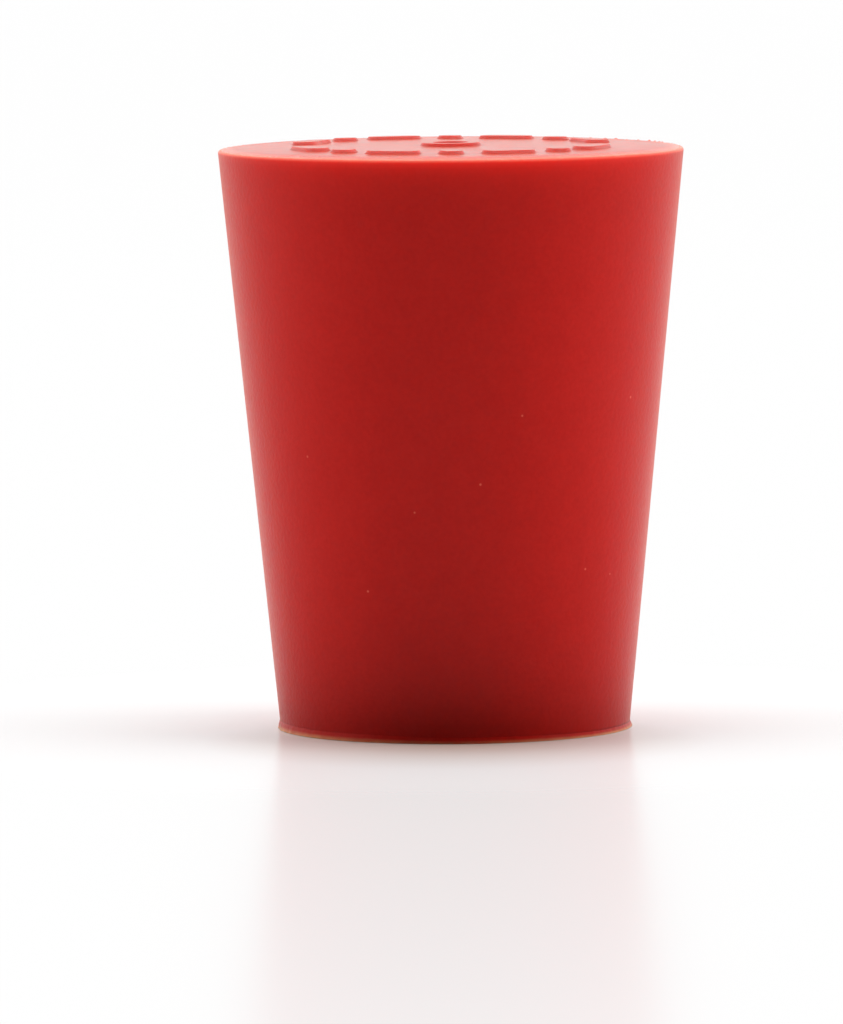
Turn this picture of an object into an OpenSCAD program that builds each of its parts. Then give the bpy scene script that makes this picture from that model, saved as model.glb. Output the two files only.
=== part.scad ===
// Solid rubber stopper for a laboratory neck, moulded in one piece.
// The narrow foot stands on z = 0 and the wide top faces +Z, both round the Z axis.
// All sizes are in millimetres.

/* [Body] */
// Diameter across the wide top, where the side and the top face would meet in a corner
top_d = 24; // [22:0.5:40]
// Diameter across the narrow foot, without its flash lip
foot_d = 18; // [12:0.5:20]
// Height from the foot to the top face
body_h = 30; // [20:1:50]
// Radius of the soft edge round the top
edge_r = 0.15; // [0.1:0.05:1]

/* [Foot flash] */
// How far the thin moulding flash stands out from the foot
flash_out = 0.2; // [0.15:0.05:0.6]
// Height of the flash lip
flash_h = 0.35; // [0.2:0.05:0.5]

/* [Raised marks] */
// Height of the marks above the top face
mark_h = 0.15; // [0.1:0.05:0.6]
// Width of a mark at its root, which is also a pip's diameter
mark_w = 1.4; // [0.8:0.1:2]
// Overall length of a dash, along the circle of marks
dash_l = 3; // [2.2:0.1:4]
// Clear space between neighbouring marks, along the same circle
mark_gap = 0.8; // [0.2:0.1:1.2]
// How much narrower a mark is at its top than at its root, so that it leaves its mould
mark_draft = 0.2; // [0.1:0.05:0.6]
// Bare band between the marks and the edge of the top
rim_w = 3.3; // [1.5:0.1:4.5]
// Marks in each of the two arcs, at the front and at the back
arc_marks = 7; // [3:2:7]
// Outer diameter of the raised ring on the axis
centre_d = 3.2; // [2.6:0.1:5]
// Width of that ring at its root
centre_w = 0.8; // [0.7:0.1:1.2]

/* [Hidden] */
$fn = 180;

foot_r = foot_d / 2;
top_r = top_d / 2;

// Half angle of the taper, between the side and the axis
taper = atan((top_r - foot_r) / body_h);

// The top edge is an arc that touches the side and the top face
edge_z = body_h - edge_r;
edge_x = foot_r + edge_z * tan(taper) - edge_r / cos(taper);

// The flash lip ends in a half round
lip_r = flash_h / 2;
lip_x = foot_r + flash_out - lip_r;

// The marks lie on one circle, a dash and a pip in turn, and are rooted this deep in the top
marks_r = top_r - rim_w - mark_w / 2;
mark_step = (dash_l + mark_w) / 2 + mark_gap;
mark_root = 0.2;
FRONT = 270;
BACK = 90;

// Angle that an arc of the given length takes up on the circle of marks
function arc_angle(arc) = arc / marks_r * 180 / PI;

// Half section of the tapered body, with its soft top edge
module body_section() {
    polygon([
        [0, 0],
        [foot_r, 0],
        [edge_x + edge_r * cos(taper), edge_z - edge_r * sin(taper)],
        [edge_x, edge_z],
        [edge_x, body_h],
        [0, body_h],
    ]);
    translate([edge_x, edge_z]) circle(edge_r);
}

// Half section of the flash lip, a thin disc with a half-round edge
module flash_section() {
    square([lip_x, flash_h]);
    translate([lip_x, lip_r]) circle(lip_r);
}

// Half section of a drafted mark of the given width, from its root up to its top
module mark_half(width) {
    polygon([
        [0, -mark_root],
        [width / 2, -mark_root],
        [width / 2, 0],
        [(width - mark_draft) / 2, mark_h],
        [0, mark_h],
    ]);
}

// Mark bent round the axis at the given radius, from +X through the given angle
module bent_mark(radius, width, angle) {
    rotate_extrude(angle = angle) translate([radius, 0]) {
        mark_half(width);
        mirror([1, 0]) mark_half(width);
    }
}

// Round mark
module pip() {
    rotate_extrude() mark_half(mark_w);
}

// Round end of a dash: half a pip, bulging towards +Y
module dash_end() {
    rotate_extrude(angle = 180) mark_half(mark_w);
}

// Mark that follows the circle of marks, centred on +X, with round ends
module dash() {
    half = arc_angle(dash_l - mark_w) / 2;
    rotate([0, 0, -half]) {
        bent_mark(marks_r, mark_w, 2 * half);
        translate([marks_r, 0]) rotate([0, 0, 180]) dash_end();
    }
    rotate([0, 0, half]) translate([marks_r, 0]) dash_end();
}

// Arc of marks centred on a direction, with a pip in the middle and then a dash and a pip in turn
module mark_arc(direction) {
    reach = (arc_marks - 1) / 2;
    for (place = [-reach : reach]) {
        rotate([0, 0, direction + place * arc_angle(mark_step)])
            if (place % 2 == 0) translate([marks_r, 0]) pip();
            else dash();
    }
}

module stopper() {
    color("firebrick") {
        rotate_extrude() {
            body_section();
            flash_section();
        }
        translate([0, 0, body_h]) {
            bent_mark((centre_d - centre_w) / 2, centre_w, 360);
            mark_arc(FRONT);
            mark_arc(BACK);
        }
    }
}

stopper();
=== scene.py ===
# %% [markdown]
# # A moulded rubber stopper
#
# A laboratory stopper is one solid plug of red rubber, wide at the top and narrow at the foot. It was
# pressed in a mould, and the mould left its traces: a thin flash lip round the foot, a soft edge round the
# top, and raised marks on the top face. The CAD solid already has these forms. This lesson makes the same
# piece again as one fine mesh, with the small unevenness of real rubber, and then gives it its finish and
# its light.

import bpy
import numpy as np
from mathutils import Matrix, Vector


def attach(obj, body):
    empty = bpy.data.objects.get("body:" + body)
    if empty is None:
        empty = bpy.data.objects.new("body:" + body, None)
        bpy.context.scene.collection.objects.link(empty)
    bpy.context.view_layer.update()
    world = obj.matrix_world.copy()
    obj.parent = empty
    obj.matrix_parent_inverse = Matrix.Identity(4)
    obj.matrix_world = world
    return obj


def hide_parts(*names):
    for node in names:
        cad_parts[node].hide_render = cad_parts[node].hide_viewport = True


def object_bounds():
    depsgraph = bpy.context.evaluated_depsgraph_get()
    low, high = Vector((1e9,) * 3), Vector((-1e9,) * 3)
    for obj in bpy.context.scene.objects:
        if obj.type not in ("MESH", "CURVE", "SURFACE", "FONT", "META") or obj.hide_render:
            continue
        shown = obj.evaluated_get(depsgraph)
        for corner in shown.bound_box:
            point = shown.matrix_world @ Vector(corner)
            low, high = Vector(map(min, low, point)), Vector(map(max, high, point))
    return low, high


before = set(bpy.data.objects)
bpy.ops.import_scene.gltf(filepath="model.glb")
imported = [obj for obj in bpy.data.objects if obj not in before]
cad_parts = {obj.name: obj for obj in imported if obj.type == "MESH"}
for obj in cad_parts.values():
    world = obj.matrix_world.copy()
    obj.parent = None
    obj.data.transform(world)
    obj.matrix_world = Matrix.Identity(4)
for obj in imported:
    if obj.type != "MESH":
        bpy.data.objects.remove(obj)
cad_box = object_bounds()
MM = 0.001


def in_mm(box):
    """The two corners of a box in millimetres, rounded to a thousandth."""
    return [[round(value / MM, 3) for value in corner] for corner in box]


print("CAD box in mm:", in_mm(cad_box))

# %% [markdown]
# ## Sizes
#
# The foot stands on z = 0 and the axis is Z, as in the CAD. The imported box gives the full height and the
# widest radius. The rest are the mould's own sizes, in metres like everything in Blender: the foot and the
# top, the height of the marks, and the radius of the soft edge. The side is a straight cone between the foot
# and the top. The top swells into a very shallow dome and rolls over a little before its edge, so the edge's
# arc sits that much lower.

# %% Driving sizes
foot_r = 9 * MM
top_r = 12 * MM
mark_h = 0.15 * MM
edge_r = 0.15 * MM
widest_r = cad_box[1].x
body_h = cad_box[1].z - mark_h
taper = np.arctan2(top_r - foot_r, body_h)

dome_h = 0.12 * MM
DOME_POWER = 3
roll_h = 0.05 * MM
roll_w = 0.9 * MM
ROLL_POWER = 2
roll_slope = np.arctan(ROLL_POWER * roll_h / roll_w + DOME_POWER * dome_h / top_r)
edge_centre_z = body_h - dome_h - roll_h - edge_r * np.cos(roll_slope)
print("top face at", round(body_h / MM, 3), "mm, taper", round(np.degrees(taper), 2), "degrees each side")

# %% [markdown]
# ## A grid round the axis
#
# A Screw modifier could turn one outline round the axis, but then every side would be the same, and nothing
# on rubber is quite even. A grid is better. One parameter is the angle round the axis, and the other runs
# along the outline, from the middle of the foot, out to the lip, up the side and back in to the middle of
# the top. Most sizes get a ripple that depends on the angle. A sum of cosines with whole-number frequencies
# is a good ripple, because it closes on itself after a full turn.

# %% Angles and ripples
COLUMNS = 720
WEAKEST_SWING = 0.4
angle = np.linspace(0, 2 * np.pi, COLUMNS, endpoint=False)


def ripple(lowest, highest, seed):
    """Sum of cosines of the angle, one for each whole frequency in the range, each with a chance start and
    swing, scaled to lie within -1 and 1."""
    chance = np.random.default_rng(seed)
    turns = np.arange(lowest, highest + 1)[:, None]
    start = chance.uniform(0, 2 * np.pi, turns.shape)
    swing = chance.uniform(WEAKEST_SWING, 1, turns.shape)
    wave = (swing * np.cos(turns * angle + start)).sum(axis=0)
    return wave / np.abs(wave).max()


print("columns:", COLUMNS, "at", round(2 * np.pi * top_r / COLUMNS / MM, 3), "mm on the rim")

# %% [markdown]
# ## The side and its flash lip
#
# Where the two halves of the mould met, a little rubber was squeezed out and made a thin lip round the foot.
# It could be a separate ring, but on the real stopper it grew out of the side. So the radius is one formula:
# the cone, plus a bevel that is widest on the floor, narrows upwards and ends in a small shoulder. The lip's
# width and height change with the angle, in slow waves and in fine ragged ones. It was trimmed closer at the
# front and the back than at the two sides, and its left side is taller.

# %% The lip's width and height round the foot
lip_out_front = 0.05 * MM
lip_out_sides = 0.1 * MM
lip_out_wave = 0.02 * MM
lip_out_rag = 0.02 * MM
lip_h_mean = 0.33 * MM
lip_h_left = 0.09 * MM
lip_h_wave = 0.03 * MM
lip_h_rag = 0.015 * MM

sideways = np.abs(np.cos(angle))
lip_out = lip_out_front + lip_out_sides * sideways
lip_out = lip_out + lip_out_wave * ripple(1, 7, seed=3) + lip_out_rag * ripple(30, 120, seed=4)
lip_h = lip_h_mean - lip_h_left * np.cos(angle)
lip_h = lip_h + lip_h_wave * ripple(2, 9, seed=5) + lip_h_rag * ripple(30, 90, seed=6)
print("lip stands out", (lip_out.min() / MM).round(3), "to", (lip_out.max() / MM).round(3), "mm")

# %% Side and lip rows
LIP_ROWS = 13
SIDE_ROWS = 32
LIP_BEVEL = 0.9
SHOULDER_POWER = 8
crease_rows = MM * np.array([0.02, 0.04, 0.07, 0.12])[:, None]
side_wave = 0.006 * MM


def cone_radius(height):
    """Radius of the straight side at a height: the foot's radius plus the height times the taper's slope."""
    return foot_r + height * np.tan(taper)


def eased(count):
    """A column of numbers from 0 to 1 that lie closer at both ends: half of one less a cosine."""
    return (1 - np.cos(np.linspace(0, np.pi, count)))[:, None] / 2


def lip_and_side():
    """Radius and height arrays, one row for each step up the outline and one column for each angle.
    The lip's rows add lip_out * (1 - LIP_BEVEL * q) * (1 - q^SHOULDER_POWER) to the cone, where q runs from
    0 at the floor to 1 at the crease. A few close rows follow above the crease. The side's rows run on to
    the top edge, closer together at both ends, and carry a faint wave that dies out there."""
    q = eased(LIP_ROWS)
    lip_z = q * lip_h
    lip_radius = cone_radius(lip_z) + lip_out * (1 - LIP_BEVEL * q) * (1 - q ** SHOULDER_POWER)
    crease_z = lip_h + crease_rows
    edge_start = edge_centre_z - edge_r * np.sin(taper)
    up = eased(SIDE_ROWS)[1:]
    side_z = crease_z[-1] + up * (edge_start - crease_z[-1])
    sway = np.sin(np.pi * up) * ripple(2, 6, seed=8) + np.sin(2 * np.pi * up) * ripple(2, 9, seed=9)
    side_radius = cone_radius(side_z) + side_wave * sway
    radius = np.vstack([lip_radius, cone_radius(crease_z), side_radius])
    return radius, np.vstack([lip_z, crease_z, side_z])


outer_radius, outer_z = lip_and_side()
print("rows of the lip and the side:", len(outer_radius))

# %% [markdown]
# ## The soft top edge
#
# The mould's rim was not knife sharp, so the side turns into the top through a small arc. Rubber shrinks as
# it cools, and the top sinks a little towards that edge too, so the arc stops just short of level and hands
# over to a shallow roll. A bevel would give the arc alone, but a formula can also carry what the mould left
# there: at the back a little rubber crept past the rim and made a thin ragged line, with a row of tiny burrs
# on one side. The arc and the roll get a painted highlight: a pale line painted where they would catch the
# light from above.

# %% Burrs round the rim
BURR_MIDDLE = np.radians(42)
BURR_SPREAD = np.radians(30)
BURR_GAIN = 1.6
RAGGED = 0.3
RAGGED_LEVEL = 0.5
BEHIND_POWER = 0.3

bell = np.exp(-((angle - BURR_MIDDLE) / BURR_SPREAD) ** 2)
behind = np.clip(np.sin(angle), 0, 1) ** BEHIND_POWER
ragged = RAGGED * behind * np.clip(RAGGED_LEVEL + ripple(30, 130, seed=13), 0, 1)
burr = np.maximum(bell * np.clip(BURR_GAIN * ripple(40, 170, seed=12), 0, 1), ragged)
print("burrs on", round(100 * (burr > 0).mean()), "percent of the rim")

# %% Edge rows
EDGE_ROWS = 9
burr_h = 0.1 * MM
BURR_TURN = np.radians(70)
BURR_WIDTH = np.radians(16)


def soft_edge():
    """Radius and height arrays of the arc: its centre plus edge_r times the direction that turns from the
    side's normal, minus the taper, almost to straight up. Burrs lift the upper part of the arc."""
    centre_radius = cone_radius(edge_centre_z) - edge_r / np.cos(taper)
    turn = np.linspace(-taper, np.pi / 2 - roll_slope, EDGE_ROWS + 1)[1:, None]
    lift = np.exp(-((turn - BURR_TURN) / BURR_WIDTH) ** 2)
    radius = centre_radius + edge_r * np.cos(turn) + 0 * angle
    height = edge_centre_z + edge_r * np.sin(turn) + burr_h * burr * lift
    return radius, height


edge_radius, edge_z = soft_edge()
rim_inner = edge_radius[-1].mean()
print("widest radius", (edge_radius.max() / MM).round(3), "mm of", round(widest_r / MM, 3))

# %% [markdown]
# ## Raised marks
#
# Stoppers carry raised marks on the top face. Here they are plain dashes and round pips on one circle, in an
# arc at the front and one at the back, with a ring on the axis. They could be cut as separate bodies and
# joined, but the joints would leave hard corners. A distance is better: for each point of the top face, work
# out how far it is inside the nearest mark, and raise it along a smooth flank. That gives a moulded slope
# with soft corners.

# %% Distance to the nearest mark
mark_w = 1.4 * MM
dash_l = 3 * MM
mark_gap = 0.8 * MM
rim_w = 3.3 * MM
centre_r = 1.2 * MM
centre_w = 0.8 * MM
ARC_REACH = 3
ARC_DIRECTIONS = np.radians([270, 90])

marks_r = top_r - rim_w - mark_w / 2
mark_step = ((dash_l + mark_w) / 2 + mark_gap) / marks_r
dash_half = (dash_l - mark_w) / 2 / marks_r


def mark_distance(radius, turn):
    """How far a point lies outside the nearest mark, negative inside. On each arc the angle is folded to the
    nearest mark's place, from -ARC_REACH to ARC_REACH. Odd places are dashes and even ones pips. The distance
    is to the nearest point of the dash's middle line, or of the pip's centre, less half the mark's width."""
    nearest = np.abs(radius - centre_r) - centre_w / 2
    for direction in ARC_DIRECTIONS:
        away = np.angle(np.exp(1j * (turn - direction)))
        place = np.clip(np.round(away / mark_step), -ARC_REACH, ARC_REACH)
        off = away - place * mark_step
        half = np.where(place % 2 == 1, dash_half, 0)
        off = off - np.clip(off, -half, half)
        line = np.hypot(radius * np.cos(off) - marks_r, radius * np.sin(off))
        nearest = np.minimum(nearest, line - mark_w / 2)
    return nearest


print("marks on a circle of", round(marks_r / MM, 2), "mm,", round(np.degrees(mark_step), 1), "degrees apart")

# %% [markdown]
# ## The top face
#
# The rows of the top face run inwards. They could be evenly spaced, but then the marks would need far too
# many of them. So they are close together where a mark's flanks cross them and wide apart on the bare bands.
# The face itself is not a mirror: it sags and swells by a few hundredths of a millimetre, which breaks up
# the pale reflection that runs across it when it is seen from low down.

# %% Radii of the top rows
flank = 0.12 * MM
flank_over = flank / 3
first_step = 0.05 * MM
last_ring = 0.1 * MM


def row_radii():
    """Radii of the top face's rows from the edge inwards. Each band has its start, its end and its number of
    even steps: few on the bare bands and many on the marks."""
    mark_reach = mark_w / 2 + flank_over
    centre_reach = centre_w / 2 + flank_over
    bands = [
        (rim_inner - first_step, rim_inner - roll_w, 7),
        (rim_inner - roll_w, marks_r + mark_reach, 5),
        (marks_r + mark_reach, marks_r - mark_reach, 27),
        (marks_r - mark_reach, centre_r + centre_reach, 9),
        (centre_r + centre_reach, centre_r - centre_reach, 16),
        (centre_r - centre_reach, last_ring, 3),
    ]
    return np.concatenate([np.linspace(start, end, steps, endpoint=False) for start, end, steps in bands])


print("top rows:", len(row_radii()))

# %% Heights of the top rows
top_swell = 0.012 * MM
swell_fade = 1 * MM
LONG_WAVE = (7, 2)
CROSS_WAVE = (-3, 5)


def mark_depth(radius):
    """How deep each point lies in a mark's flank, from 0 at its foot to 1 at its top."""
    return np.clip(-mark_distance(radius, angle + 0 * radius) / flank, 0, 1)


def top_face():
    """Radius and height arrays: the marks' height times a smooth step of the depth in the flank, plus a slow
    swell made of two waves across the face, less the dome's fall and the roll at the rim."""
    radius = row_radii()[:, None] + 0 * angle
    depth = mark_depth(radius)
    rise = mark_h * depth ** 2 * (3 - 2 * depth)
    across = radius * np.cos(angle) / top_r
    along = radius * np.sin(angle) / top_r
    swell = np.sin(LONG_WAVE[0] * across + LONG_WAVE[1] * along)
    swell = swell * np.cos(CROSS_WAVE[0] * across + CROSS_WAVE[1] * along)
    fade = np.clip((top_r - radius) / swell_fade, 0, 1)
    fall = dome_h * (radius / top_r) ** DOME_POWER
    roll = roll_h * np.clip(1 - (rim_inner - radius) / roll_w, 0, 1) ** ROLL_POWER
    return radius, body_h + rise + top_swell * swell * fade - fall - roll


top_radius, top_z = top_face()
print("highest point of the marks:", (top_z.max() / MM).round(3), "mm")

# %% [markdown]
# ## The underside
#
# The foot is the flat floor of the mould. One large face would close it, but long thin faces shade badly, so
# it has a few rings, drawn closer towards the lip.

# %% Underside rows
FOOT_SHARES = np.array([0.02, 0.3, 0.6, 0.85, 0.96, 0.995])
foot_radius = foot_r * FOOT_SHARES[:, None] + 0 * angle
foot_z = 0 * foot_radius
print("underside rings:", len(foot_radius))

# %% [markdown]
# ## One closed mesh
#
# The four stretches are stacked into one grid. Each cell of the grid becomes a quad, the last column joins
# the first, and a fan of triangles round one point closes each end. The order of a quad's corners decides
# which way it faces: round the axis first and then along the outline makes it face outwards everywhere.
# Smooth shading would run round the foot's corner and darken the thin lip, so that one row is marked sharp.

# %% From a grid to a mesh


def closed_mesh(name, radius, height):
    """Mesh of a grid of radii and heights round the Z axis, closed by a point at the middle of each end."""
    rows, columns = radius.shape
    grid = np.stack([radius * np.cos(angle), radius * np.sin(angle), height], axis=-1).reshape(-1, 3)
    ends = np.array([[0, 0, height[0].mean()], [0, 0, height[-1].mean()]])
    points = np.vstack([grid, ends])
    number = np.arange(rows * columns).reshape(rows, columns)
    following = np.roll(number, -1, axis=1)
    quads = np.stack([number[:-1], following[:-1], following[1:], number[1:]], axis=-1).reshape(-1, 4)
    low_point = np.full(columns, rows * columns)
    low_fan = np.stack([low_point, following[0], number[0]], axis=-1)
    high_fan = np.stack([low_point + 1, number[-1], following[-1]], axis=-1)
    corners = np.concatenate([quads.ravel(), low_fan.ravel(), high_fan.ravel()])
    fans = np.arange(2 * columns) * 3 + quads.size
    starts = np.concatenate([np.arange(len(quads)) * 4, fans])

    mesh = bpy.data.meshes.new(name)
    mesh.vertices.add(len(points))
    mesh.vertices.foreach_set("co", points.ravel())
    mesh.loops.add(len(corners))
    mesh.loops.foreach_set("vertex_index", corners)
    mesh.polygons.add(len(starts))
    mesh.polygons.foreach_set("loop_start", starts)
    mesh.polygons.foreach_set("use_smooth", np.ones(len(starts), dtype=bool))
    mesh.update(calc_edges=True)
    mesh.validate(verbose=True)
    return mesh


def sharpen_row(mesh, row):
    """Marks the edges whose two points are both in one row of the grid as sharp, and counts them."""
    ends = np.empty(2 * len(mesh.edges), dtype=np.int32)
    mesh.edges.foreach_get("vertices", ends)
    along = (ends.reshape(-1, 2) // COLUMNS == row).all(axis=1)
    mesh.attributes.new("sharp_edge", "BOOLEAN", "EDGE").data.foreach_set("value", along)
    return along.sum()


print("a grid of", COLUMNS, "columns closes after the last one")

# %% Build the stopper
grid_radius = np.vstack([foot_radius, outer_radius, edge_radius, top_radius])
grid_z = np.vstack([foot_z, outer_z, edge_z, top_z])
side_from = len(foot_radius)

stopper_mesh = closed_mesh("moulded_stopper", grid_radius, grid_z)
sharp_edges = sharpen_row(stopper_mesh, side_from)
stopper = bpy.data.objects.new("moulded_stopper", stopper_mesh)
bpy.context.scene.collection.objects.link(stopper)
print("stopper:", len(stopper_mesh.vertices), "points,", len(stopper_mesh.polygons), "faces")
print("sharp edges at the foot's corner:", sharp_edges)

# %% [markdown]
# ## Where the finish changes
#
# The finish is not the same all over. The lip's thin edge is painted paler than the body, as painted light
# that would pass through it, and at the two sides the crease above it is painted darker, as painted shade. A
# painted glow lies on the first half millimetre of the side, at the front and the back, where light that
# enters at the top would glow through, and the soft edge is painted pale as a painted highlight. The top face
# came off a smoother plate than the side, but it has a duller margin at the front and the back, which also
# takes half of the painted glow, and talc clings to the flanks of its marks. The places could be painted by
# hand, but the grid already knows them: each point gets one number for each, from 0 to 1.

# %% Stretches of the grid
edge_from = side_from + len(outer_radius)
top_from = edge_from + len(edge_radius)
row_of = np.arange(len(grid_z))[:, None] + 0 * angle
on_side = (row_of >= side_from) & (row_of < edge_from)
on_edge = (row_of >= edge_from) & (row_of < top_from)
on_top = row_of >= top_from


def point_attribute(name, values):
    """Keeps one number for each point of the stopper under a name that a material can read. The two end
    points take the value of the first row and the last."""
    numbers = np.concatenate([values.ravel(), [values[0, 0], values[-1, 0]]]).astype(np.float32)
    stopper_mesh.attributes.new(name, "FLOAT", "POINT").data.foreach_set("value", numbers)


print("rows: side from", side_from, "edge from", edge_from, "top from", top_from)

# %% Painted light on the flash and painted shade in the crease
FLASH_START = 1.25
FLASH_FALL = 2.2
FLASH_FRONT = 0.4
FLASH_PATCHES = 0.2
crease_up = 0.03 * MM
crease_width = 0.04 * MM
CREASE_SHADE_POWER = 1.5
CREASE_SHADE_MEAN = 0.6
CREASE_SHADE_RIGHT = 0.3

# Painted light: the lip's lower edge is painted pale orange, as light passing through the thin flash and
# bouncing up from the floor would make it. It is weaker at the front.
lip_edge = np.clip(FLASH_START - FLASH_FALL * grid_z / lip_h, 0, 1)
flash_light_share = FLASH_FRONT + (1 - FLASH_FRONT) * sideways
patches = 1 - FLASH_PATCHES + FLASH_PATCHES * ripple(10, 60, seed=21)
point_attribute("flash", lip_edge * flash_light_share * patches * on_side)
# Painted shade: at the two sides the crease just above the lip is painted dark red, more on the right.
crease_shade_share = sideways ** CREASE_SHADE_POWER * (CREASE_SHADE_MEAN + CREASE_SHADE_RIGHT * np.cos(angle))
above_lip = np.exp(-((grid_z - lip_h - crease_up) / crease_width) ** 2)
point_attribute("crease", crease_shade_share * above_lip * on_side)
print("flash at the front", FLASH_FRONT, "of the sides")

# %% Painted glow and painted highlight at the top edge
PAINTED_GLOW_SHARE = 0.76
painted_glow_depth = 0.6 * MM
HIGHLIGHT_SHARE = 0.12
highlight_depth = 0.08 * MM
HIGHLIGHT_POWER = 1.5
BURR_COVER = 3

front_and_back = np.sin(angle) ** 2
below_edge = np.clip(edge_centre_z - grid_z, 0, None)
inward = rim_inner - grid_radius
# Painted glow: under the top edge, at the front and the back, the side's colour turns a brighter red that
# fades downwards, where light from the top would glow through the skin.
painted_glow = PAINTED_GLOW_SHARE * front_and_back * np.exp(-below_edge / painted_glow_depth)
point_attribute("painted_glow", painted_glow * (on_side | on_edge))
# Painted highlight: a pale line is painted on the side just under the edge, on the arc and on the roll, where
# light from above would catch them.
highlight_side = HIGHLIGHT_SHARE * np.exp(-below_edge / highlight_depth)
highlight_arc = np.clip(HIGHLIGHT_SHARE + (grid_z - edge_centre_z) / edge_r, 0, 1)
highlight_roll = np.clip(1 - inward / roll_w, 0, 1) ** HIGHLIGHT_POWER
point_attribute("painted_edge_highlight", highlight_side * on_side + highlight_arc * on_edge + highlight_roll * on_top)
point_attribute("burr", np.clip(BURR_COVER * burr, 0, 1) * on_edge)
print("glow fades over", round(painted_glow_depth / MM, 2), "mm, the pale line over", round(highlight_depth / MM, 2), "mm")

# %% Dull margin with painted glow, and talc on the top face
margin_w = 2.6 * MM
MARGIN_POWER = 1.7
RING_TALC = 0.35
ring_reach = 2 * centre_r

# The margin's colour takes half of the painted glow red, at the front and the back. Its dullness is a real
# change of roughness.
margin = front_and_back * np.clip(1 - inward / margin_w, 0, 1) ** MARGIN_POWER
point_attribute("margin", margin * on_top)
depth = mark_depth(grid_radius)
half_way_up = 4 * depth * (1 - depth)
dusted = np.where(grid_radius > ring_reach, 1, RING_TALC)
point_attribute("talc", half_way_up * dusted * on_top)
point_attribute("top_face", 1.0 * on_top)
print("attributes:", [item.name for item in stopper_mesh.attributes if not item.is_internal])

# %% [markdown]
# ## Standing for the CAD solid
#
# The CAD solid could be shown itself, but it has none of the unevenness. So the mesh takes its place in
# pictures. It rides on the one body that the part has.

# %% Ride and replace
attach(stopper, "root")
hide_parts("stopper")

# %% [markdown]
# ## Red rubber
#
# The rubber is filled and dyed right through: a deep warm red with a satin skin. It is not one flat colour.
# The mix is slightly cloudy over a millimetre or so, with a finer grain in it, and here and there a speck of
# filler shows as a pale dot. A faint bloom lies on the skin, and a sheen shows it where the surface turns
# away. On the top face the bloom also paints the colour paler, as painted light from above. A little light
# travels under the skin, which makes the red glow along the edge where the top light enters, and a painted
# glow in the colour adds to it there. A painted image could show the colours, but noise needs no image and
# has no seam. All patterns read Object coordinates, so they stay with the piece.

# %% Colours and nodes
NOISE_ROUGHNESS = 0.55


def linear(red, green, blue):
    """Screen colour from 0 to 255 as the linear colour that shaders use, by the sRGB curve."""
    share = np.array([red, green, blue]) / 255
    curve = np.where(share <= 0.04045, share / 12.92, ((share + 0.055) / 1.055) ** 2.4)
    return (*curve.tolist(), 1)


def new_material(name):
    """An empty node material, with its tree and its output node."""
    material = bpy.data.materials.new(name)
    material.use_nodes = True
    material.node_tree.nodes.clear()
    return material, material.node_tree, material.node_tree.nodes.new("ShaderNodeOutputMaterial")


def add_node(tree, kind, inputs=None, **settings):
    """Adds a node of a kind to a tree, with its settings and the values of its unlinked inputs."""
    node = tree.nodes.new(kind)
    for key, value in settings.items():
        setattr(node, key, value)
    for key, value in (inputs or {}).items():
        node.inputs[key].default_value = value
    return node


def linked_node(tree, kind, *sources, **settings):
    """Adds a node whose first inputs are linked to other sockets, in order, and returns its first output."""
    node = add_node(tree, kind, **settings)
    for number, source in enumerate(sources):
        tree.links.new(source, node.inputs[number])
    return node.outputs[0]


print("mid grey in linear light:", [round(value, 3) for value in linear(128, 128, 128)[:3]])

# %% Mixes, ranges and patterns


def mix(tree, kind, factor, first, second):
    """Mixes two colours (kind RGBA) or two numbers (kind FLOAT), each a socket or a fixed value, by a factor,
    and returns the result's socket."""
    node = add_node(tree, "ShaderNodeMix", data_type=kind)
    ending = "_Color" if kind == "RGBA" else "_Float"
    for socket, value in (("Factor_Float", factor), ("A" + ending, first), ("B" + ending, second)):
        target = next(item for item in node.inputs if item.identifier == socket)
        if isinstance(value, bpy.types.NodeSocket):
            tree.links.new(value, target)
        else:
            target.default_value = value
    return next(item for item in node.outputs if item.identifier == "Result" + ending)


def map_range(tree, value, low, high, to_low, to_high):
    """Maps a value's stretch from low to high onto another stretch, and holds it there."""
    limits = {"From Min": low, "From Max": high, "To Min": to_low, "To Max": to_high}
    node = add_node(tree, "ShaderNodeMapRange", limits)
    tree.links.new(value, node.inputs["Value"])
    return node.outputs["Result"]


def noise(tree, place, size, detail):
    """Noise whose clouds are about size metres across."""
    values = {"Scale": 1 / size, "Detail": detail, "Roughness": NOISE_ROUGHNESS}
    node = add_node(tree, "ShaderNodeTexNoise", values)
    tree.links.new(place, node.inputs["Vector"])
    return node.outputs["Fac"]


def mask(tree, name):
    """The number that the stopper's points keep under a name."""
    return add_node(tree, "ShaderNodeAttribute", attribute_name=name).outputs["Fac"]


print("masks:", [item.name for item in stopper_mesh.attributes if item.data_type == "FLOAT"])

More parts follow.
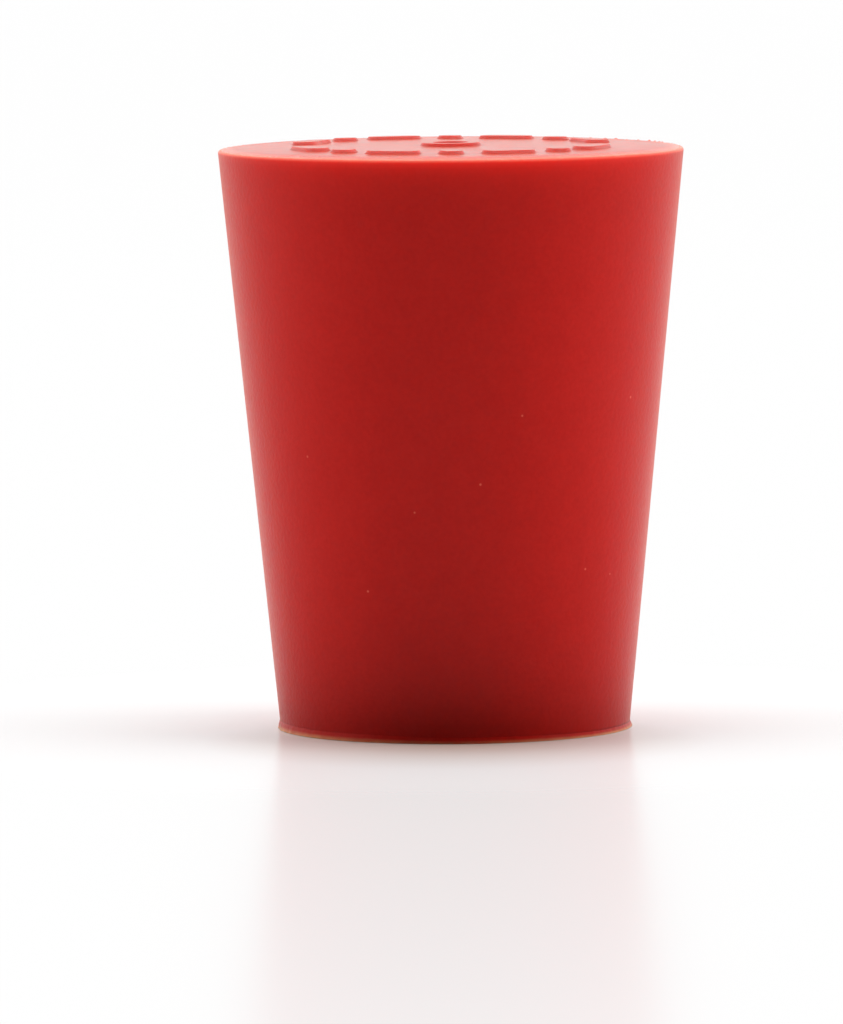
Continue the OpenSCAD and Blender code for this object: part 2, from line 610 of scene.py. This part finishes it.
# %% Rubber colour
# Of these colours, the bright red glow, the pale edge colour, the lip's pale orange and the crease's dark red
# are painted light and shade, and the bloom is partly painted light on the top face. The specks, burrs and
# talc are the rubber's own colours.
DEEP_RED = linear(184, 20, 14)
WARM_RED = linear(195, 25, 18)
SPECK = linear(216, 92, 74)
BLOOM = linear(255, 200, 145)
PAINTED_GLOW = linear(250, 38, 26)
PAINTED_HIGHLIGHT = linear(242, 122, 102)
BURR = linear(146, 60, 50)
FLASH_LIGHT = linear(252, 154, 106)
CREASE_SHADE = linear(140, 15, 10)
TALC = linear(215, 120, 112)
GRAIN_SHARE = 0.65
TOP_BLOOM_AND_LIGHT = 0.03
speck_cell = 1.4 * MM
SPECK_DOT = (0.03, 0.06)
SPECK_PICK = (0.69, 0.71)
TINTS = (
    ("painted_glow", PAINTED_GLOW, 1),
    ("margin", PAINTED_GLOW, 0.5),
    ("talc", TALC, 0.6),
    ("painted_edge_highlight", PAINTED_HIGHLIGHT, 1),
    ("burr", BURR, 0.5),
    ("flash", FLASH_LIGHT, 1),
    ("crease", CREASE_SHADE, 1),
)


def speck_mask(tree, place):
    """1 inside a few tiny round specks: the middles of a Voronoi pattern's cells, in those cells whose chance
    colour is bright enough."""
    cells = add_node(tree, "ShaderNodeTexVoronoi", {"Scale": 1 / speck_cell, "Randomness": 1})
    tree.links.new(place, cells.inputs["Vector"])
    dot = map_range(tree, cells.outputs["Distance"], *SPECK_DOT, 1, 0)
    pick = map_range(tree, cells.outputs["Color"], *SPECK_PICK, 0, 1)
    return linked_node(tree, "ShaderNodeMath", dot, pick, operation="MULTIPLY")


def rubber_colour(tree, place, clouds, grain):
    """Two reds mixed by the clouds and the grain, then the specks, a little bloom on the top face that also
    paints it paler as light from above would, and each tint where its mask says: some tints are the rubber's
    own, others painted light and shade."""
    shade = mix(tree, "FLOAT", GRAIN_SHARE, clouds, grain)
    colour = mix(tree, "RGBA", shade, DEEP_RED, WARM_RED)
    colour = mix(tree, "RGBA", speck_mask(tree, place), colour, SPECK)
    # Painted light, in part: the bloom makes the top face paler, as light from above would.
    bloom = map_range(tree, mask(tree, "top_face"), 0, 1, 0, TOP_BLOOM_AND_LIGHT)
    colour = mix(tree, "RGBA", bloom, colour, BLOOM)
    for name, tint, strength in TINTS:
        cover = map_range(tree, mask(tree, name), 0, 1, 0, strength)
        colour = mix(tree, "RGBA", cover, colour, tint)
    return colour


print("tints:", [name for name, tint, strength in TINTS])

# %% Rubber skin
SIDE_ROUGH = (0.3, 0.38)
TOP_ROUGH = (0.15, 0.23)
MARGIN_ROUGH = 0.42
bump_depth = 0.012 * MM
SIDE_BUMP = 0.5
TOP_BUMP = 0.25


def rubber_roughness(tree, clouds, grain):
    """The side's roughness follows the grain. The top face is smoother, follows the clouds and is dull at its
    margin."""
    side = map_range(tree, grain, 0, 1, *SIDE_ROUGH)
    top = map_range(tree, clouds, 0, 1, *TOP_ROUGH)
    top = mix(tree, "FLOAT", mask(tree, "margin"), top, MARGIN_ROUGH)
    return mix(tree, "FLOAT", mask(tree, "top_face"), side, top)


def rubber_bump(tree, grain):
    """Normal that the grain's fine bumps tilt, more on the side than on the top face."""
    bump = add_node(tree, "ShaderNodeBump", {"Distance": bump_depth})
    strength = map_range(tree, mask(tree, "top_face"), 0, 1, SIDE_BUMP, TOP_BUMP)
    tree.links.new(strength, bump.inputs["Strength"])
    tree.links.new(grain, bump.inputs["Height"])
    return bump.outputs["Normal"]


print("bumps up to", round(bump_depth / MM, 3), "mm")

# %% Rubber material
cloud_size = 1.2 * MM
grain_size = 0.25 * MM
NOISE_SPAN = (0.3, 0.7)


def rubber_material():
    """Satin red rubber on one Principled shader. What is even all over, such as the light under the skin and
    the sheen, is set on its sockets, and what changes over the surface is linked."""
    material, tree, output = new_material("red_rubber")
    shader = add_node(tree, "ShaderNodeBsdfPrincipled", {
        "IOR": 1.5,
        "Specular IOR Level": 0.11,
        "Subsurface Weight": 0.7,
        "Subsurface Radius": (1.0, 0.12, 0.08),
        "Subsurface Scale": 0.8 * MM,
        "Sheen Weight": 0.15,
        "Sheen Roughness": 0.3,
        "Sheen Tint": BLOOM,
    })
    place = add_node(tree, "ShaderNodeTexCoord").outputs["Object"]
    clouds = map_range(tree, noise(tree, place, cloud_size, detail=3), *NOISE_SPAN, 0, 1)
    grain = map_range(tree, noise(tree, place, grain_size, detail=2), *NOISE_SPAN, 0, 1)
    tree.links.new(rubber_colour(tree, place, clouds, grain), shader.inputs["Base Color"])
    tree.links.new(rubber_roughness(tree, clouds, grain), shader.inputs["Roughness"])
    tree.links.new(rubber_bump(tree, grain), shader.inputs["Normal"])
    tree.links.new(shader.outputs[0], output.inputs["Surface"])
    return material


stopper_mesh.materials.append(rubber_material())
print("rubber nodes:", len(stopper_mesh.materials[0].node_tree.nodes))

# %% [markdown]
# ## The floor
#
# The stopper stands on a white board that shows a short contact shadow, darkened and warmed by a painted
# shadow near the foot, and a faint, blurred reflection at a low angle. A plain white board would end in a
# grey horizon. So further off it fades to a plain white that only the camera sees, and runs into the white
# background. Close to the foot a painted shade makes it throw less light back.

# %% Floor material
WHITE = (1, 1, 1, 1)
FLOOR_WHITE = (0.78, 0.78, 0.78, 1)
FLOOR_CONTACT_SHADOW = (0.58, 0.46, 0.4, 1)
FLOOR_SHADE = (0.03, 0.03, 0.03, 1)
contact_shadow_middle = (0, -8 * MM, 0)
contact_shadow_span = (1 * MM, 13 * MM)
shade_middle = (0, -3 * MM, 0)
shade_span = (10 * MM, 14 * MM)
far_span = (12 * MM, 34 * MM)
GLOSS_ROUGH = 0.22
GLOSS_IOR = 1.046


def away_from(tree, place, middle, span):
    """A number that grows from 0 to 1 over a span of distances from a middle."""
    node = add_node(tree, "ShaderNodeVectorMath", {1: middle}, operation="DISTANCE")
    tree.links.new(place, node.inputs[0])
    return map_range(tree, node.outputs["Value"], *span, 0, 1)


def floor_material():
    """White board: diffuse white for the camera, with a painted shadow, darker and warmer, at the contact,
    and a painted shade near the foot for bounced light. Plain white takes over further from the middle, and a
    low-angle gloss lies on top."""
    material, tree, output = new_material("white_board")
    ray = add_node(tree, "ShaderNodeLightPath")
    place = add_node(tree, "ShaderNodeTexCoord").outputs["Object"]
    # Painted shadow: near the foot the camera sees the board darker and warmer, as a contact shadow with
    # light thrown back from the red rubber.
    seen = mix(tree, "RGBA", away_from(tree, place, contact_shadow_middle, contact_shadow_span), FLOOR_CONTACT_SHADOW, FLOOR_WHITE)
    # Painted shade: near the foot the board throws back less light.
    bounced = mix(tree, "RGBA", away_from(tree, place, shade_middle, shade_span), FLOOR_SHADE, FLOOR_WHITE)
    colour = mix(tree, "RGBA", ray.outputs["Is Diffuse Ray"], seen, bounced)
    diffuse = linked_node(tree, "ShaderNodeBsdfDiffuse", colour)
    plain_white = add_node(tree, "ShaderNodeEmission", {"Strength": 1}).outputs[0]
    far = away_from(tree, place, (0, 0, 0), far_span)
    far_seen = linked_node(tree, "ShaderNodeMath", far, ray.outputs["Is Camera Ray"], operation="MULTIPLY")
    matt = linked_node(tree, "ShaderNodeMixShader", far_seen, diffuse, plain_white)
    gloss = add_node(tree, "ShaderNodeBsdfGlossy", {"Roughness": GLOSS_ROUGH, "Color": WHITE}).outputs[0]
    low_angle = add_node(tree, "ShaderNodeFresnel", {"IOR": GLOSS_IOR}).outputs[0]
    board = linked_node(tree, "ShaderNodeMixShader", low_angle, matt, gloss)
    tree.links.new(board, output.inputs["Surface"])
    return material


print("board white:", FLOOR_WHITE[:3], "and at the contact:", FLOOR_CONTACT_SHADOW[:3])

# %% Floor
floor_r = 3.0
floor_gap = 0.01 * MM


def flat_card(name, corners):
    """A flat card from its four corners, counter-clockwise as seen from its front."""
    mesh = bpy.data.meshes.new(name)
    mesh.from_pydata(corners, [], [tuple(range(len(corners)))])
    card = bpy.data.objects.new(name, mesh)
    bpy.context.scene.collection.objects.link(card)
    return card


floor = flat_card("floor", [
    (-floor_r, -floor_r, -floor_gap),
    (floor_r, -floor_r, -floor_gap),
    (floor_r, floor_r, -floor_gap),
    (-floor_r, floor_r, -floor_gap),
])
floor.data.materials.append(floor_material())
print("floor:", 2 * floor_r, "m square")

# %% [markdown]
# ## Studio light
#
# The picture has a white surround, a strong soft light above, two at the sides, and nothing bright on the
# camera's side, so the front of the stopper is deep red and its edges are pale. Small lamps would throw hard
# shadows, so large ones stand close by. The world is white for rays that see it straight or by reflection,
# and lower for the light that it gives. A dark card stands on the camera's side as a flag: no camera ray sees
# it, but it keeps the front from being washed out.

# %% World
WORLD_LEVEL = 0.9
world = bpy.data.worlds.new("white_surround")
world.use_nodes = True
bpy.context.scene.world = world
sky = world.node_tree
sky.nodes.clear()
sky_ray = add_node(sky, "ShaderNodeLightPath")
sight = sky_ray.outputs["Is Camera Ray"]
for kind in ("Is Glossy Ray", "Is Transmission Ray"):
    sight = linked_node(sky, "ShaderNodeMath", sight, sky_ray.outputs[kind], operation="ADD", use_clamp=True)
sky_seen = add_node(sky, "ShaderNodeBackground", {"Color": WHITE, "Strength": 1}).outputs[0]
sky_light = add_node(sky, "ShaderNodeBackground", {"Color": WHITE, "Strength": WORLD_LEVEL}).outputs[0]
surround = linked_node(sky, "ShaderNodeMixShader", sight, sky_light, sky_seen)
sky.links.new(surround, add_node(sky, "ShaderNodeOutputWorld").inputs["Surface"])
print("world level for lighting:", WORLD_LEVEL)

# %% Softboxes
middle = Vector((0, 0, body_h / 2))


def softbox(name, place, size, watts):
    """A square area lamp that faces the middle of the stopper."""
    lamp = bpy.data.lights.new(name, "AREA")
    lamp.size = size
    lamp.energy = watts
    box = bpy.data.objects.new(name, lamp)
    box.location = place
    box.rotation_euler = (middle - Vector(place)).to_track_quat("-Z", "Y").to_euler()
    box.visible_camera = False
    box.visible_glossy = False
    bpy.context.scene.collection.objects.link(box)
    return box


lamps = [
    softbox("top_softbox", place=(0, 0.05, 0.42), size=0.4, watts=1.0),
    softbox("left_softbox", place=(-0.38, 0.04, 0.24), size=0.3, watts=0.6),
    softbox("right_softbox", place=(0.38, -0.03, 0.24), size=0.3, watts=0.9),
]
print("lamps:", [lamp.name for lamp in lamps])

# %% Flag
FLAG_BLACK = (0.04, 0.04, 0.04, 1)
flag_y = -0.3
flag_half = 0.55
flag_top = 0.6
flag = flat_card("camera_side_flag", [
    (flag_half, flag_y, 0),
    (-flag_half, flag_y, 0),
    (-flag_half, flag_y, flag_top),
    (flag_half, flag_y, flag_top),
])
flag_material, flag_tree, flag_output = new_material("black_flag")
flag_shader = add_node(flag_tree, "ShaderNodeBsdfDiffuse", {"Color": FLAG_BLACK})
flag_tree.links.new(flag_shader.outputs[0], flag_output.inputs["Surface"])
flag.data.materials.append(flag_material)
flag.visible_camera = False
print("flag:", 2 * flag_half, "m wide")

# %% [markdown]
# ## Camera
#
# The picture was taken with a long lens from a little above the top: the top is a thin ellipse and the foot
# a fuller one. The camera could be placed by eye, but these two slants give its distance and its height.
# The lens then follows from how large the stopper is in the frame, and the aim from where it stands there.
# The picture leans very slightly.

# %% Place from the picture's measures
IMAGE_W = 843
IMAGE_H = 1024
AXIS_PX = 453.5
MIDDLE_PX = 436
PX_PER_MM = 19.4
TOP_SLANT = np.radians(2.85)
FOOT_SLANT = np.radians(5.95)

camera_reach = body_h / (np.tan(FOOT_SLANT) - np.tan(TOP_SLANT))
camera_height = camera_reach * np.tan(FOOT_SLANT)
aim_x = (IMAGE_W / 2 - AXIS_PX) / PX_PER_MM * MM
aim_z = body_h / 2 + (MIDDLE_PX - IMAGE_H / 2) / PX_PER_MM * MM
eye = Vector((aim_x, -camera_reach, camera_height))
aim = Vector((aim_x, 0, aim_z))
print("camera", round(camera_reach, 3), "m away,", round(camera_height / MM, 1), "mm up")

# %% Camera
LEAN = np.radians(0.45)
SENSOR_MM = 36
far_clip = 20
lens = bpy.data.cameras.new("long_lens")
lens.sensor_width = SENSOR_MM
lens.lens = SENSOR_MM * (aim - eye).length / (IMAGE_H / PX_PER_MM * MM)
lens.clip_end = far_clip
camera = bpy.data.objects.new("camera", lens)
camera.location = eye
camera.rotation_euler = (aim - eye).to_track_quat("-Z", "Y").to_euler()
camera.rotation_euler.rotate_axis("Z", -LEAN)
bpy.context.scene.collection.objects.link(camera)
bpy.context.scene.camera = camera
bpy.context.scene.view_settings.view_transform = "Standard"
print("lens:", round(lens.lens), "mm")
